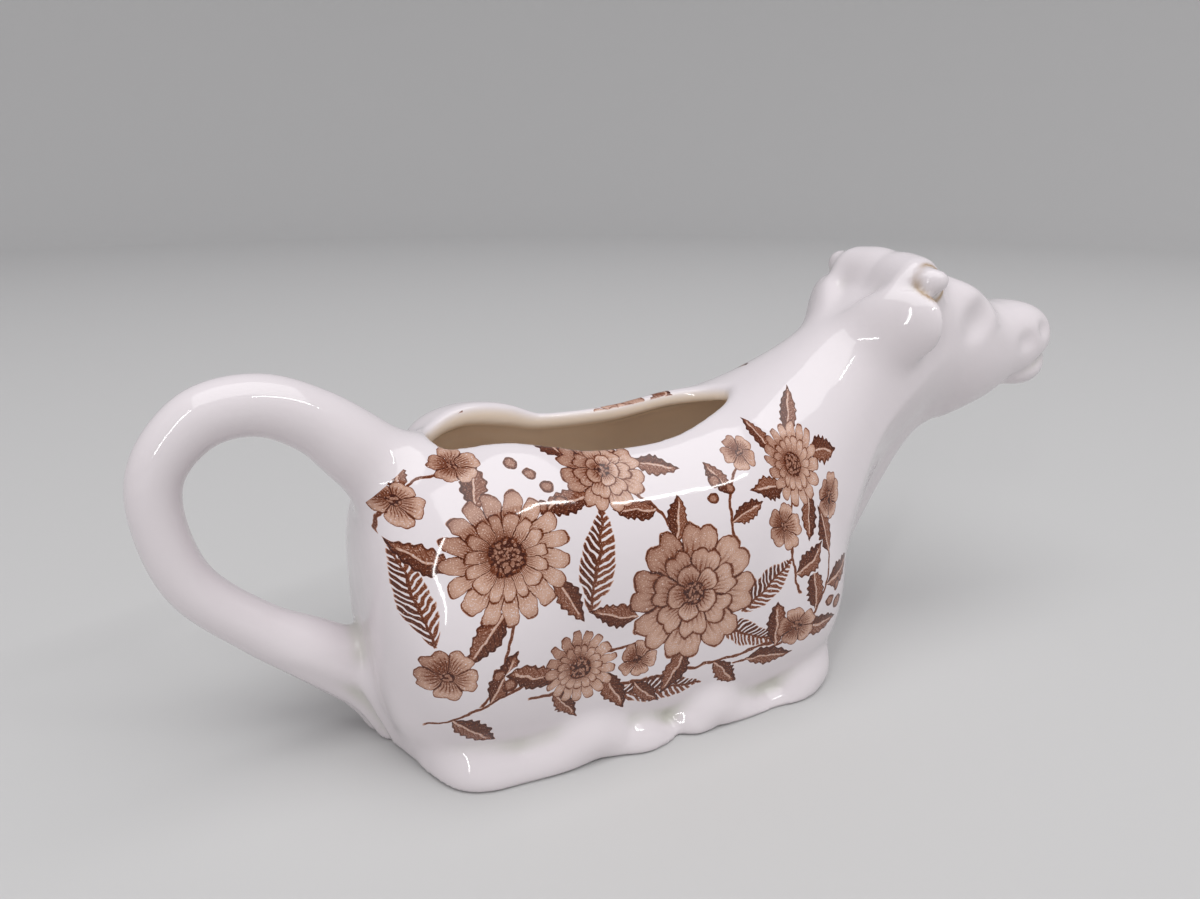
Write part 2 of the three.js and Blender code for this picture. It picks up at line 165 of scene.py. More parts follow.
# %% Ribs of the body
RUMP = -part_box("body_shell")[0][0] / MM
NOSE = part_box("head_shell")[1][0] / MM
NOSE_START = 91.0
HALF_WIDTH = 25.0
SINK = 3.0
BACK_SQUARENESS = 2.4
BASE_SQUARENESS = 3.6
RUMP_BLUNTNESS = 4.2
NOSE_BLUNTNESS = 2.7
WALL = 2.8
FLOOR = 4.0
WITHERS = np.array([25.5, 51.7])
POLL = np.array([61.0, 73.6])
NECK_SAG = 2.6
DEWLAP = np.array([47.5, 8.0])
THROAT = np.array([69.0, 40.0])
BRISKET = 38.0

back_line = smooth_rows([(-RUMP, 48.4), (-29.5, 50.6), (-19.5, 52.2), (0, 49.0), WITHERS], 12)


def nape(share):
    """A point on the back of the neck, from the withers to the poll."""
    return WITHERS + (POLL - WITHERS) * share - (0, 4 * NECK_SAG * share * (1 - share))


def chest(share):
    """A point on the front of the neck, from the dewlap to the throat."""
    return DEWLAP + (THROAT - DEWLAP) * share


def upright_rib(x, bottom_x):
    top = np.interp(x, back_line[:, 0], back_line[:, 1])
    return (x, top, bottom_x, -SINK, HALF_WIDTH, BACK_SQUARENESS, BASE_SQUARENESS)


ribs = [upright_rib(x, x) for x in (-44, -36, -29.5, -24, -19.5, -13, -6)]
ribs += [upright_rib(7.6, 9.4), upright_rib(17.3, 21.4)]
collar_top, collar_bottom = nape(0.52), chest(0.56)
ribs += [
    (*WITHERS, BRISKET, -SINK / 2, 23.0, 2.4, 2.9),
    (*nape(0.26), *chest(0), 18.4, 2.3, 1.5),
    (*collar_top, *collar_bottom, 12.8, 2.4, 1.15),
    (*nape(0.8), *chest(0.92), 12.8, 3.0, 1.35),
]
print("ribs of the body:", len(ribs))

# %% Ribs of the head
ribs += [
    (60.6, 72.8, 72.6, 41.0, 12.0, 3.0, 1.7),
    (66.0, 72.2, 76.6, 41.2, 11.3, 2.3, 1.9),
    (72.2, 70.3, 80.1, 41.6, 11.0, 2.3, 2.0),
    (78.6, 67.2, 83.5, 42.6, 10.4, 2.3, 2.0),
    (84.0, 64.2, 86.8, 44.2, 9.6, 2.3, 2.1),
    (89.0, 63.4, 90.0, 45.8, 9.0, 2.4, 2.2),
    (95.0, 63.4, 95.0, 46.9, 8.7, 2.5, 2.3),
    (103.5, 63.2, 103.5, 47.3, 8.5, 2.5, 2.3),
]
print("ribs in all:", len(ribs))

# %% [markdown]
# The field of such a hull is found rib by rib. Every point of the middle plane lies in the plane of one
# rib, which halving finds quickly. In that plane the oval says how far out the point is: below one inside,
# above one outside. Dividing a field by its own slope turns it into a distance in millimetres.

# %% Field of a hull
def rib_at(x, z):
    """The rib whose plane holds each point, as a place in the table and as a row of it."""
    low, high = np.zeros(x.shape), np.full(x.shape, len(rib_table) - 1.0)
    for _ in range(16):
        middle = (low + high) / 2
        top_x, top_z, bottom_x, bottom_z = row_at(middle)[:4]
        ahead = (top_z - bottom_z) * (x - bottom_x) > (top_x - bottom_x) * (z - bottom_z)
        low, high = np.where(ahead, middle, low), np.where(ahead, high, middle)
    return low, row_at(low)


def row_at(place):
    index = np.minimum(place.astype(int), len(rib_table) - 2)
    share = (place - index)[..., None]
    return np.moveaxis(rib_table[index] * (1 - share) + rib_table[index + 1] * share, -1, 0)


def in_rib(row, x, z):
    """Height of a point along its rib, and half the rib's length."""
    top_x, top_z, bottom_x, bottom_z = row[:4]
    dx, dz = top_x - bottom_x, top_z - bottom_z
    length = np.hypot(dx, dz)
    height = ((x - (top_x + bottom_x) / 2) * dx + (z - (top_z + bottom_z) / 2) * dz) / length
    return height, length / 2


def as_distance(field):
    """A field divided by its slope, which is a distance close to its surface."""
    slope = np.sqrt(sum(part**2 for part in np.gradient(field, STEP)))
    return field / np.maximum(slope, 0.2)


rib_table = smooth_rows(ribs, 12)


def hull(inset=0.0):
    """Distance to a hull over ribs, set in by a wall and rounded off at the rump and at the nose."""
    x, z = X[:, 0, :], Z[:, 0, :]
    row = rib_at(x, z)[1]
    height, half_length = in_rib(row, x, z)
    upward = height / (half_length - inset)
    power = np.where(upward > 0, row[5], row[6])[:, None, :].astype(np.float32)
    upward = np.abs(upward)[:, None, :].astype(np.float32)
    half = (row[4] - inset)[:, None, :].astype(np.float32)
    out = ((np.abs(Y) / half) ** power + upward**power) ** (1 / power)
    radius = np.hypot(Y, height[:, None, :].astype(np.float32))
    ends = (-X, RUMP - inset, RUMP_BLUNTNESS), (X - NOSE_START, NOSE - inset - NOSE_START, NOSE_BLUNTNESS)
    for beyond, reach, power in ends:
        beyond = np.maximum(beyond, 0)
        out = ((beyond / reach) ** power + out**power) ** (1 / power)
        radius = np.hypot(radius, beyond)
    return as_distance(radius - radius / np.maximum(out, 1e-4))


shell = hull()
space = hull(WALL)
print("hull sculpted, deepest point", round(float(-shell.min()), 1), "mm inside")

# %% [markdown]
# ## Limbs and dabs
#
# Everything else is made of two forms: a limb, which is a row of stops, each with a radius, joined by a
# smooth line, and an egg, which can be pressed on like a dab of clay or pressed in like a thumb.

# %% Tools for limbs and dabs
def near_box(low, high):
    """The part of the grid between two corners, and its coordinates."""
    spans = tuple(slice(*np.searchsorted(axis, (a, b))) for axis, a, b in zip(AXES, low, high))
    return spans, X[spans[0]], Y[:, spans[1]], Z[:, :, spans[2]]


def limb(stops, steps=12):
    """Distance to a round limb through stops of x, y, z and a radius."""
    beads = smooth_rows(stops, steps)
    reach = beads[:, 3:].max() + FAR
    spans, x, y, z = near_box((beads[:, :3] - reach).min(0), (beads[:, :3] + reach).max(0))
    field = np.full(SHAPE, FAR, np.float32)
    part = field[spans]
    for bead_x, bead_y, bead_z, radius in beads:
        away = np.sqrt((x - bead_x) ** 2 + (y - bead_y) ** 2 + (z - bead_z) ** 2)
        np.minimum(part, away - radius, out=part)
    return field


def egg(centre, radii, x, y, z, turn=0.0, lean=0.0):
    """Distance to an egg shape, leaned forward and then turned about the vertical, in degrees."""
    x, y, z = x - centre[0], y - centre[1], z - centre[2]
    c, s = np.cos(np.radians(turn)), np.sin(np.radians(turn))
    x, y = x * c + y * s, y * c - x * s
    c, s = np.cos(np.radians(lean)), np.sin(np.radians(lean))
    x, z = x * c - z * s, z * c + x * s
    a, b, c = x / radii[0], y / radii[1], z / radii[2]
    size = np.sqrt(a**2 + b**2 + c**2)
    slope = np.sqrt((a / radii[0]) ** 2 + (b / radii[1]) ** 2 + (c / radii[2]) ** 2)
    return (size * (size - 1) / np.maximum(slope, 1e-4)).astype(np.float32)


def dab(form, centre, radii, soft, cut=False, **turns):
    """Presses a dab of clay onto a form, or cuts one out of it, with a soft edge."""
    reach = max(radii) + 2 * soft
    spans, x, y, z = near_box(np.array(centre) - reach, np.array(centre) + reach)
    blend = carve if cut else join
    form[spans] = blend(form[spans], egg(centre, radii, x, y, z, **turns), soft)


# %% [markdown]
# ## Chest, flanks and face
#
# The dewlap hangs as a soft keel from the throat down to the brisket. The rump runs out into an apron
# round the foot of the tail, the haunches and the shoulders swell a little, and the rim of the opening
# stands higher at the back of the left side. On the head, a roll makes the crown, a dab makes each brow and
# each half of the lower lip, and thumbs press in the eye hollows and the nostrils. The crease of the mouth
# is wide and shallow: its stops have radii below zero, so only the soft edge of the cut reaches the skin.

# %% Chest and flanks
def both(stops, tilt=0.0):
    """The same limb on the right and on the left side, lower on the right where it is tilted."""
    stops = np.array(stops)
    return np.minimum(limb(stops * (1, -1, 1, 1) - (0, 0, tilt, 0)), limb(stops + (0, 0, tilt, 0)))


keel = limb([
    (74.0, 0, 44.4, 2.0),
    (68.6, 0, 42.0, 2.0),
    (64.0, 0, 37.8, 2.0),
    (59.8, 0, 31.2, 2.1),
    (55.8, 0, 24.2, 2.2),
    (51.6, 0, 17.0, 2.6),
    (46.8, 0, 9.6, 2.8),
    (41.0, 0, 4.0, 2.4),
])
shell = join(shell, keel, 7.0)
apron = both([(-35.4, 0, 1.8, 6.0), (-34.0, 8, 1.2, 5.2), (-30.8, 15, 1.0, 5.2)])
shell = join(shell, apron, 5.0)
dab(shell, (-19.0, 14.0, 45.6), (10.0, 6.0, 4.4), 4.0)
for side in (-1, 1):
    dab(shell, (-26.0, side * 19.4, 21.0), (11.0, 6.4, 11.0), 6.0)
    dab(shell, (27.0, side * 18.8, 19.0), (9.0, 5.6, 11.0), 6.0)
print("trunk shaped")

# %% Face
crown = limb([(61.0, -9.0, 69.2, 3.1), (61.0, 0, 70.2, 3.4), (61.0, 9.0, 69.8, 3.2)])
shell = join(shell, crown, 4.0)
for side in (-1, 1):
    dab(shell, (76.2, side * 6.2, 63.6), (5.6, 4.0, 3.2), 3.0, lean=40)
    dab(shell, (75.4, side * 11.6, 62.8), (4.6, 2.2, 2.6), 3.0, cut=True, turn=-12 * side, lean=-42)
    dab(shell, (91.0, side * 9.8, 56.4), (2.0, 1.4, 1.6), 2.0, cut=True)
    dab(shell, (97.0, side * 8.6, 58.4), (1.8, 1.4, 1.4), 2.0, cut=True)
    dab(shell, (94.6, side * 3.6, 50.0), (5.4, 4.4, 3.8), 2.0)
crease = both([
    (101.6, 4.0, 53.8, -0.5),
    (100.0, 5.6, 53.2, -0.4),
    (97.4, 7.3, 52.1, -0.3),
    (94.4, 8.0, 50.6, -0.3),
    (91.0, 7.7, 48.6, -0.4),
    (87.6, 6.4, 46.6, -0.5),
])
shell = carve(shell, crease, 3.2)
print("face shaped")

# %% [markdown]
# ## Tail, legs, ears and horns
#
# The tail leaves the top of the rump, loops back for a finger and comes down to its tuft, where a comb has
# drawn a few grooves that spread towards the ground. The legs are folded flat along the base, each with a
# lump for the joint and a hoof. The horns stand at the ends of the crown, the left one a little higher, and
# each ear is an egg with a smaller egg pressed into its front.

# %% Tail
tail = limb([
    (-34.5, 0, 43.6, 5.8),
    (-39.6, 0, 47.8, 6.0),
    (-46.2, 0, 53.8, 5.0),
    (-54.0, 0, 57.4, 4.6),
    (-62.2, 0, 56.3, 4.4),
    (-68.4, 0, 49.8, 3.9),
    (-69.4, 0, 41.4, 3.7),
    (-66.3, 0, 31.0, 3.8),
    (-57.9, 0, 22.2, 4.1),
    (-49.6, 0, 16.0, 5.2),
    (-41.4, 0, 9.4, 6.0),
    (-35.4, 0, 2.0, 6.0),
], 30)
GROOVES = ((1.8, 0.06), (4.2, 0.12))
GROOVE_DEPTH = 0.6
GROOVE_WIDTH = 0.7
TUFT_TOP = 18.0
TUFT_FRONT = -36.0
combed = 0
for start, spread in GROOVES:
    off = np.abs(Y) - start - spread * (TUFT_TOP - Z)
    combed = combed + np.exp(-((off / GROOVE_WIDTH) ** 2))
combed = combed * np.clip((TUFT_TOP - Z) / 8, 0, 1) * np.clip((TUFT_FRONT - X) / 3, 0, 1)
print("grooves on each side of the tuft:", len(GROOVES))

# %% Legs
HOOVES_MEET = 2.6
hind_legs = both([
    (-32.0, 15.0, 1.2, 5.2),
    (-29.6, 19.2, 1.4, 5.6),
    (-24.0, 20.6, 1.0, 4.9),
    (-18.0, 21.0, 1.8, 4.9),
    (-13.0, 21.0, 3.6, 5.1),
    (-9.8, 20.9, 3.0, 4.9),
    (-6.6, 21.2, 1.2, 4.6),
    (-3.4, 22.3, 0.4, 4.3),
    (0.0, 22.5, -1.0, 3.7),
])
forelegs = both([
    (7.0, 21.6, 0.8, 4.4),
    (10.2, 21.2, 2.8, 4.8),
    (14.0, 21.2, 0.6, 4.5),
    (19.0, 21.7, -1.6, 4.2),
    (25.0, 21.2, -1.2, 4.3),
    (30.0, 19.8, 2.2, 4.9),
    (33.2, 17.0, 3.0, 5.2),
    (34.4, 12.0, 2.4, 4.8),
])
print("folded legs, highest point", round(float(Z[0, 0, (forelegs < 0).any((0, 1))].max()), 1), "mm")

# %% Horns and ears
HORN_TIP = (60.4, 13.2, 70.9)
HORN_TILT = 0.5
horns = both([
    (61.0, 5.0, 69.0, 3.2),
    (59.4, 9.6, 69.8, 3.0),
    (59.4, 11.8, 70.6, 2.6),
    (*HORN_TIP, 1.9),
], HORN_TILT)
EAR_X, EAR_Y = 55.6, 10.8
EAR_TURN = 34
ears = both([(61.4, 5.0, 64.6, 5.0), (59.0, 8.0, 64.4, 4.4)])
cups = np.full(SHAPE, FAR, np.float32)
spans, *here = near_box((42, -26, 52), (76, 26, 80))
for side in (-1, 1):
    lobe = egg((EAR_X, side * EAR_Y, 62.8), (3.4, 8.2, 5.8), *here, turn=-EAR_TURN * side)
    cup = egg((60.8, side * 13.6, 62.8), (3.4, 6.4, 4.2), *here, turn=-EAR_TURN * side)
    ears[spans] = join(ears[spans], lobe, 2.0)
    cups[spans] = np.minimum(cups[spans], cup)
ears = carve(ears, cups, 2.0)
ear_front = cos(radians(EAR_TURN)) * (X - EAR_X) - sin(radians(EAR_TURN)) * (np.abs(Y) - EAR_Y)
print("the horns end", 2 * HORN_TIP[1], "mm apart")

# %% [markdown]
# ## One skin
#
# Now everything is joined, each joint with its own fillet: wide where a thumb has wiped it, narrow where the
# pieces only touch. Then the hollow is taken out: the space inside the wall, the filling opening cut down
# through the back, and the mouth that the milk pours from. The opening is a plan outline, blunt behind and
# pointed at the withers, and the rounded cut leaves its lip.

# %% Opening and mouth
OPENING_REAR = 29.5
OPENING_FRONT = 25.5
OPENING_HALF = 11.0
OPENING_FOOT = 25.0
MOUTH = (102.5, 0.0, 53.2)


def arc(a, b, c, d):
    """A curve from a to d that heads for b and arrives from c."""
    a, b, c, d = map(np.array, (a, b, c, d))
    t = np.linspace(0, 1, 24, endpoint=False)[:, None]
    return a * (1 - t) ** 3 + 3 * b * t * (1 - t) ** 2 + 3 * c * t**2 * (1 - t) + d * t**3


half_outline = np.vstack([
    arc((-OPENING_REAR, 0), (-OPENING_REAR, OPENING_HALF), (-OPENING_REAR / 2, OPENING_HALF),
        (0, OPENING_HALF)),
    arc((0, OPENING_HALF), (OPENING_FRONT * 0.5, OPENING_HALF), (OPENING_FRONT * 0.9, OPENING_HALF * 0.55),
        (OPENING_FRONT, 0)),
    [(OPENING_FRONT, 0)],
])


def plan_distance(outline, x, y):
    """Distance to an outline that is mirrored about the x axis, below zero inside."""
    best = np.full(np.broadcast(x, y).shape, np.inf)
    y = np.abs(y)
    for (ax, ay), (bx, by) in zip(outline, outline[1:]):
        dx, dy = bx - ax, by - ay
        t = np.clip(((x - ax) * dx + (y - ay) * dy) / (dx * dx + dy * dy), 0, 1)
        best = np.minimum(best, np.hypot(x - ax - t * dx, y - ay - t * dy))
    edge = np.interp(x, outline[:, 0], outline[:, 1], left=-1, right=-1)
    return np.where(y < edge, -best, best)


opening = plan_distance(half_outline, X[:, :, 0], Y[:, :, 0])[:, :, None].astype(np.float32)
opening = np.maximum(opening, OPENING_FOOT - Z)
spans, *here = near_box((80, -10, 44), (112, 10, 62))
mouth = np.full(SHAPE, FAR, np.float32)
mouth[spans] = egg(MOUTH, (18, 3.6, 2.5), *here)
space = np.maximum(space, FLOOR - Z)
space = join(join(space, opening, 0.8), mouth, 1.0)
print("opening:", OPENING_REAR + OPENING_FRONT, "by", 2 * OPENING_HALF, "mm")

# %% Skin
# The first row says where: a height, a way in front of the ear, or a way out from the middle plane.
TAIL_FILLET = (6, 16, 24, 42), (5.0, 3.0, 2.5, 6.0)
EAR_FILLET = (-1, 3), (5.0, 2.0)
HORN_FILLET = (8.5, 11.5), (6.0, 0.8)
LEG_FILLET = 2.0
CUP_LIFT = 2.6


def fillet(where, rows):
    """A fillet that changes from place to place."""
    return np.interp(where, *rows).astype(np.float32)


skin = join(shell, tail, fillet(Z, TAIL_FILLET))
skin = skin + GROOVE_DEPTH * combed.astype(np.float32)
skin = join(skin, hind_legs, LEG_FILLET)
skin = join(skin, forelegs, LEG_FILLET)
skin = join(skin, ears, fillet(ear_front, EAR_FILLET))
skin = carve(skin, cups + CUP_LIFT, 1.6)
skin = join(skin, horns, fillet(np.abs(Y), HORN_FILLET))
skin = carve(skin, Z.copy(), 1.0)
outside = skin
skin = carve(skin, space, 2.0)
print("clay:", round(float((skin < 0).sum()) * (STEP / 10) ** 3, 1), "cm3")

# %% [markdown]
# ## From clay to mesh
#
# A surface net puts one point into each cell of the grid that the surface passes through, and one
# four-sided face round each grid line that crosses it. Where the corners of a grid square take turns in and
# out, two sheets would share an edge, so one corner is flipped first. The points are then slid along the
# surface until they lie evenly, and pushed onto it along the slope of the field, which also gives exact
# normals. Faces less points, halved, plus one is the number of ways through the clay, and it has to be two:
# the finger loop, and the way from the back to the mouth.

# %% Surface net
def surface_net(field):
    """Points, in grid steps, and four-sided faces of the surface where the field is zero."""
    cells = tuple(n - 1 for n in field.shape)
    inside = field < 0
    count = np.zeros(cells, np.int8)
    for corner in product((0, 1), repeat=3):
        count += inside[tuple(slice(o, o + n) for o, n in zip(corner, cells))]
    mixed = (count > 0) & (count < 8)
    place = np.argwhere(mixed)
    number = np.full(cells, -1)
    number[mixed] = np.arange(len(place))
    total, hits = np.zeros(place.shape), np.zeros(len(place))
    faces = []
    for axis in range(3):
        unit = np.eye(3, dtype=int)[axis]
        others = [np.eye(3, dtype=int)[o] for o in range(3) if o != axis]
        for i, j in product((0, 1), repeat=2):
            start = place + i * others[0] + j * others[1]
            a, b = field[tuple(start.T)], field[tuple((start + unit).T)]
            crossed = (a < 0) != (b < 0)
            share = np.where(crossed, a / np.where(crossed, a - b, 1), 0)
            total += (start + share[:, None] * unit) * crossed[:, None]
            hits += crossed
        low = tuple(slice(0 if o == axis else 1, -1) for o in range(3))
        high = tuple(slice(1, None) if o == axis else slice(1, -1) for o in range(3))
        starts = np.argwhere(inside[low] != inside[high]) + 1 - unit
        round_edge = [starts - others[0] - others[1], starts - others[1], starts, starts - others[0]]
        quads = np.stack([number[tuple(cell.T)] for cell in round_edge], 1)
        flip = inside[tuple(starts.T)] == (axis == 1)
        faces.append(np.where(flip[:, None], quads[:, ::-1], quads))
    return total / hits[:, None], np.vstack(faces)


def sample(field, points):
    """Values of a field at points in grid steps."""
    base = np.clip(points.astype(int), 0, np.array(field.shape[:3]) - 2)
    share = points - base
    value = 0
    for corner in product((0, 1), repeat=3):
        weight = np.prod(np.where(corner, share, 1 - share), axis=1)
        picked = field[tuple((base + corner).T)]
        value = value + (weight[:, None] if picked.ndim > 1 else weight) * picked
    return value


FAINT = 0.02


def untangle(field):
    """Flips the weakest corner of each square whose corners take turns in and out."""
    for u, v in ((0, 1), (0, 2), (1, 2)):
        cuts = []
        for i, j in ((0, 0), (0, 1), (1, 1), (1, 0)):
            cut = [slice(None)] * 3
            cut[u] = slice(i, field.shape[u] - 1 + i)
            cut[v] = slice(j, field.shape[v] - 1 + j)
            cuts.append(tuple(cut))
        a, b, c, d = (field[cut] < 0 for cut in cuts)
        for square in map(tuple, np.argwhere((a == c) & (b == d) & (a != b))):
            weakest = min(cuts, key=lambda cut: abs(field[cut][square]))
            field[weakest][square] = -FAINT if field[weakest][square] >= 0 else FAINT


for _ in range(3):
    untangle(skin)
points, quads = surface_net(skin)
slope = np.stack(np.gradient(skin), -1)
edges = np.vstack([quads[:, (i, (i + 1) % 4)] for i in range(4)])
degree = np.bincount(edges[:, 0], minlength=len(points))[:, None]


def neighbour_mean(values):
    """The mean of each point's neighbours."""
    sums = [np.bincount(edges[:, 0], column[edges[:, 1]], len(values)) for column in values.T]
    return np.stack(sums, 1) / degree


def settle(points):
    """Points pushed onto the surface."""
    steep = sample(slope, points)
    return points - steep * (sample(skin, points) / np.maximum((steep**2).sum(1), 1e-3))[:, None]


for _ in range(8):
    normal = sample(slope, points)
    normal /= np.linalg.norm(normal, axis=1, keepdims=True)
    slide = neighbour_mean(points) - points
    slide -= normal * (slide * normal).sum(1, keepdims=True)
    points = settle(points + 0.6 * slide)
print("points:", len(points), "faces:", len(quads), "ways through:", 1 + (len(quads) - len(points)) // 2)

# %% [markdown]
# ## Back into pieces
#
# Each face belongs to the piece whose own form is nearest, and the seam between two pieces is the line
# where they are equally near. Down between the hooves the trunk gives way to the legs, so that no sliver of
# it is left there. The points along a seam are slid onto its line, and put back where that would fold a
# face over.

# %% Pieces
COLLAR_AXIS = np.array([collar_top[1] - collar_bottom[1], 0, collar_bottom[0] - collar_top[0]])
COLLAR_AXIS = COLLAR_AXIS / np.linalg.norm(COLLAR_AXIS)
ORIGIN = np.array([axis[0] for axis in AXES])
collar = COLLAR_AXIS[0] * (X - collar_bottom[0]) + COLLAR_AXIS[2] * (Z - collar_bottom[1]) + 0 * Y
HOOF_ROOM = 4.5
WALL_DEPTH = 0.6
between_hooves = np.maximum(HOOF_ROOM - np.hypot(X - HOOVES_MEET, Z), 0)
forms = [shell + between_hooves, tail, hind_legs, forelegs, horns, ears]


def form_of(places):
    """The form that each point belongs to. The inside of the hollow is all shell."""
    values = np.stack([sample(form, places) for form in forms], 1)
    values[sample(outside, places) < -WALL_DEPTH, 1:] = FAR
    return values.argmin(1)


kind = form_of(points[quads].mean(1))
ahead = sample(collar, points[quads].mean(1)) > 0
left = (points[quads].mean(1)[:, 1] * STEP + ORIGIN[1]) > 0
label = np.where(kind == 0, ahead, 2 * kind + left)
print("faces of each piece:", dict(zip(*np.unique(label, return_counts=True))))

# %% Seams
NUDGE = 0.05
first = np.full(len(points), 99)
last = np.full(len(points), -1)
for corner in range(4):
    np.minimum.at(first, quads[:, corner], label)
    np.maximum.at(last, quads[:, corner], label)
seam = np.flatnonzero(first != last)


def seam_field(places, a, b):
    """Zero on the seam between the pieces a and b."""
    if b == 1:
        return sample(collar, places)
    return sample(forms[a // 2], places) - sample(forms[b // 2], places)


before = points.copy()
for a, b in np.unique(np.stack([first[seam], last[seam]], 1), axis=0):
    these = seam[(first[seam] == a) & (last[seam] == b)]
    for _ in range(6):
        here = points[these]
        off = seam_field(here, a, b)
        rises = [seam_field(here + n, a, b) - seam_field(here - n, a, b) for n in NUDGE * np.eye(3)]
        steep = np.stack(rises, 1) / (2 * NUDGE)
        normal = sample(slope, here)
        normal /= np.linalg.norm(normal, axis=1, keepdims=True)
        steep -= normal * (steep * normal).sum(1, keepdims=True)
        move = -steep * (off / np.maximum((steep**2).sum(1), 0.05))[:, None]
        points[these] = here + np.clip(move, -0.5, 0.5)
    points[these] = settle(points[these])
put_back = 0
for _ in range(4):
    corners = points[quads]
    facing = np.cross(corners[:, 2] - corners[:, 0], corners[:, 3] - corners[:, 1])
    facing /= np.maximum(np.linalg.norm(facing, axis=1, keepdims=True), 1e-6)
    steep = sample(slope, corners.mean(1))
    steep /= np.linalg.norm(steep, axis=1, keepdims=True)
    folded = quads[(facing * steep).sum(1) < 0.5]
    points[folded] = before[folded]
    put_back += folded.size
normals = sample(slope, points)
normals /= np.linalg.norm(normals, axis=1, keepdims=True)
places = points * STEP + ORIGIN
print("points on seams:", len(seam), "put back:", put_back)

# %% [markdown]
# ## Where the print lies
#
# The print is drawn flat on a sheet and wrapped round the jug. Each point of the skin gets its place on that
# sheet in millimetres: along the middle line of the ribs, and up or down round its rib from the widest line.
# The left side gets the same sheet the other way round, so the two sides don't mirror each other. The third
# coordinate is one everywhere, so that a dot product with the sheet can also shift it.

# %% Place on the sheet
LEFT_TURN = 4.0


def on_sheet(x, y, z):
    """How far along the body a point lies, and how far up round its rib."""
    place, row = rib_at(x, z)
    height, half_length = in_rib(row, x, z)
    upward = np.clip(height / half_length, -1, 1)
    power = np.where(upward > 0, row[5], row[6])
    turn = np.arcsin(np.abs(upward) ** (power / 2)) * np.linspace(0, 1, 24)[:, None]
    out, up = row[4] * np.cos(turn) ** (2 / power), half_length * np.sin(turn) ** (2 / power)
    around = np.hypot(np.diff(out, axis=0), np.diff(up, axis=0)).sum(0) * np.sign(upward)
    middle = (rib_table[:, :2] + rib_table[:, 2:4]) / 2
    length = np.concatenate([[0], np.hypot(*np.diff(middle, axis=0).T).cumsum()])
    along = np.interp(place, np.arange(len(rib_table)), length - np.interp(0, middle[:, 0], length))
    return np.where(y > 0, LEFT_TURN - along, along), around


sheet = np.stack([*on_sheet(*places.T), np.ones(len(places))], 1)
print("the sheet reaches from", sheet.min(0)[:2].round(), "to", sheet.max(0)[:2].round(), "mm")

# %% [markdown]
# Glaze is glass, and it runs while it melts. It gathers in hollows, where it looks thicker and greyer, and
# it thins over ridges. The grey drawn in the hollows is darker than gathered glaze alone: it is also painted
# shade, the shade that falls into creases, cups and the gaps round the legs. How hollow the skin is comes
# from
# the field: the mean of its neighbours, less its own value. The inside of the jug has the cream colour of
# bare clay under thin glaze, drawn lighter than the white outside, so it also paints light into the shaded
# inside.

# %% Hollows and inside
STAIN_REACH = 3.9
STAIN_WIDTH = 0.55
hollow = -sum(np.gradient(np.gradient(skin, STEP, axis=axis), STEP, axis=axis) for axis in range(3))
# painted shade: how hollow each point is, smoothed; it darkens the glaze there, partly for gathered glaze
# and partly for the shade in creases
gather_and_shade = np.clip(sample(hollow, points), 0, 1)[:, None]
for _ in range(6):
    gather_and_shade = neighbour_mean(gather_and_shade)
inside = np.clip((-sample(outside, points) - 0.5) / 1.2, 0, 1)
from_tip = np.linalg.norm(places - np.multiply(HORN_TIP, (1, -1, 1)) + (0, 0, HORN_TILT), axis=1)
stain = np.exp(-(((from_tip - STAIN_REACH) / STAIN_WIDTH) ** 2))
# tint holds where the inside is, the painted shade of the hollows, and the horn stain
tint = np.stack([inside, gather_and_shade[:, 0], stain], 1)
print("share of the skin inside:", round(float(inside.mean()), 2))

# %% [markdown]
# ## Meshes
#
# Each piece is closed by the face that was luted to its neighbour. That face lies deep in the clay, so it
# never shows: rows of points go straight in from the seam and then run together in the middle. At the
# collar the two seams, outside and inside the wall, are bridged instead, which leaves the neck open.

# %% Rings and hidden faces
HIDDEN_DEPTH = 0.9
COLLAR_REACH = 0.4
PIECES = {
    0: "body_shell", 1: "head_shell", 2: "tail_handle", 3: "tail_handle",
    4: "right_hind_leg", 5: "left_hind_leg", 6: "right_foreleg", 7: "left_foreleg",
    8: "right_horn", 9: "left_horn", 10: "right_ear", 11: "left_ear",
}


def sink(places):
    """Places pushed into the clay, well below any surface."""
    at = (places - ORIGIN) / STEP
    for _ in range(5):
        steep = sample(slope, at)
        shallow = np.maximum(sample(skin, at) + HIDDEN_DEPTH, 0)
        at = at - steep * (shallow / np.maximum((steep**2).sum(1), 1e-3))[:, None]
    return at * STEP + ORIGIN


def collar_height(ring):
    """How far the middle of a ring lies ahead of the collar."""
    middle = sum((edge.verts[0].co for edge in ring), Vector()) / (MM * len(ring))
    return COLLAR_AXIS @ (np.array(middle) - (collar_bottom[0], 0, collar_bottom[1]))


